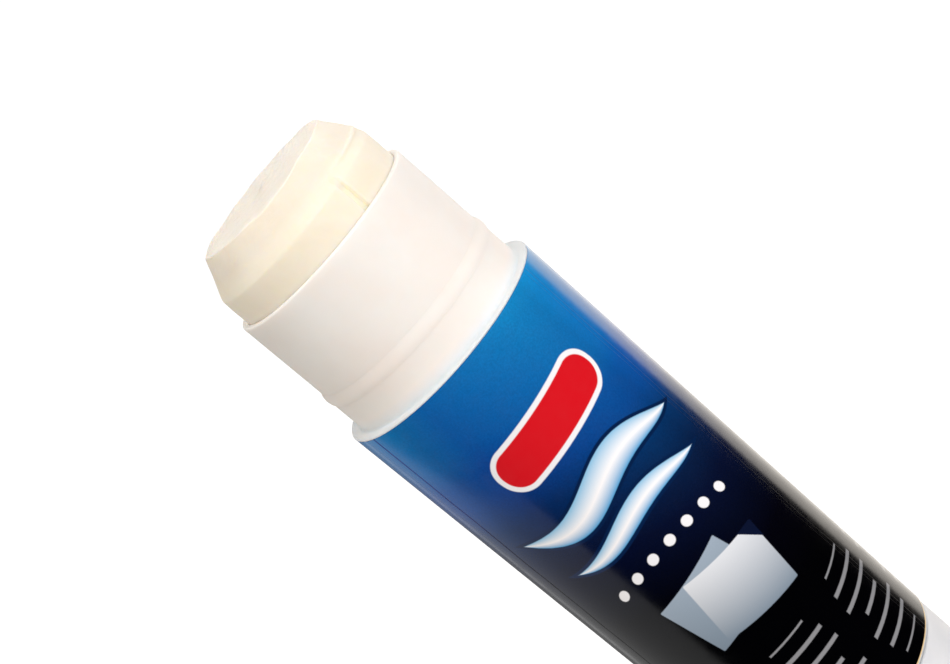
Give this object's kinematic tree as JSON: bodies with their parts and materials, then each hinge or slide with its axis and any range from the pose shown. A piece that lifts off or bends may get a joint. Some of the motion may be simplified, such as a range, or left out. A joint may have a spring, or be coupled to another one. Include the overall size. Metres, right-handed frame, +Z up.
{
  "type": "glue stick",
  "caption": "Twist-up glue stick with its cap off: a white barrel in a glossy sleeve, a turning base knob, and a worn cream glue rod raised above the neck.",
  "frame": {"origin": "centre of the knob's underside, where the stick stands", "axes": "+Z up the stick towards the glue's tip, -Y the front of the label"},
  "size_m": [0.026, 0.026, 0.0964],
  "materials": {
    "barrel_white": "satin moulded polypropylene",
    "label_blue": "glossy printed film",
    "knob_grey": "satin moulded polypropylene",
    "inner_white": "satin moulded polypropylene",
    "glue_cream": "waxy, slightly translucent"
  },
  "bodies": {
    "barrel_body": {"barrel": "barrel_white", "label_film": "label_blue"},
    "dial": {"twist_knob": "knob_grey", "lead_screw": "inner_white"},
    "rod": {"carrier": "inner_white", "glue": "glue_cream"}
  },
  "joints": [
    {"name": "carrier_lift", "type": "slide", "parent": "barrel_body", "child": "rod", "axis": [0, 0, 1], "range_m": [-0.011, 0.042]},
    {"name": "knob_turn", "type": "hinge", "parent": "barrel_body", "child": "dial", "pos_m": [0, 0, 0.014], "axis": [0, 0, 1], "range_deg": [-1000, 3800]}
  ],
  "couplings": [
    {"joint": "knob_turn", "follows": "carrier_lift", "rad_per_m": 1570.8}
  ]
}
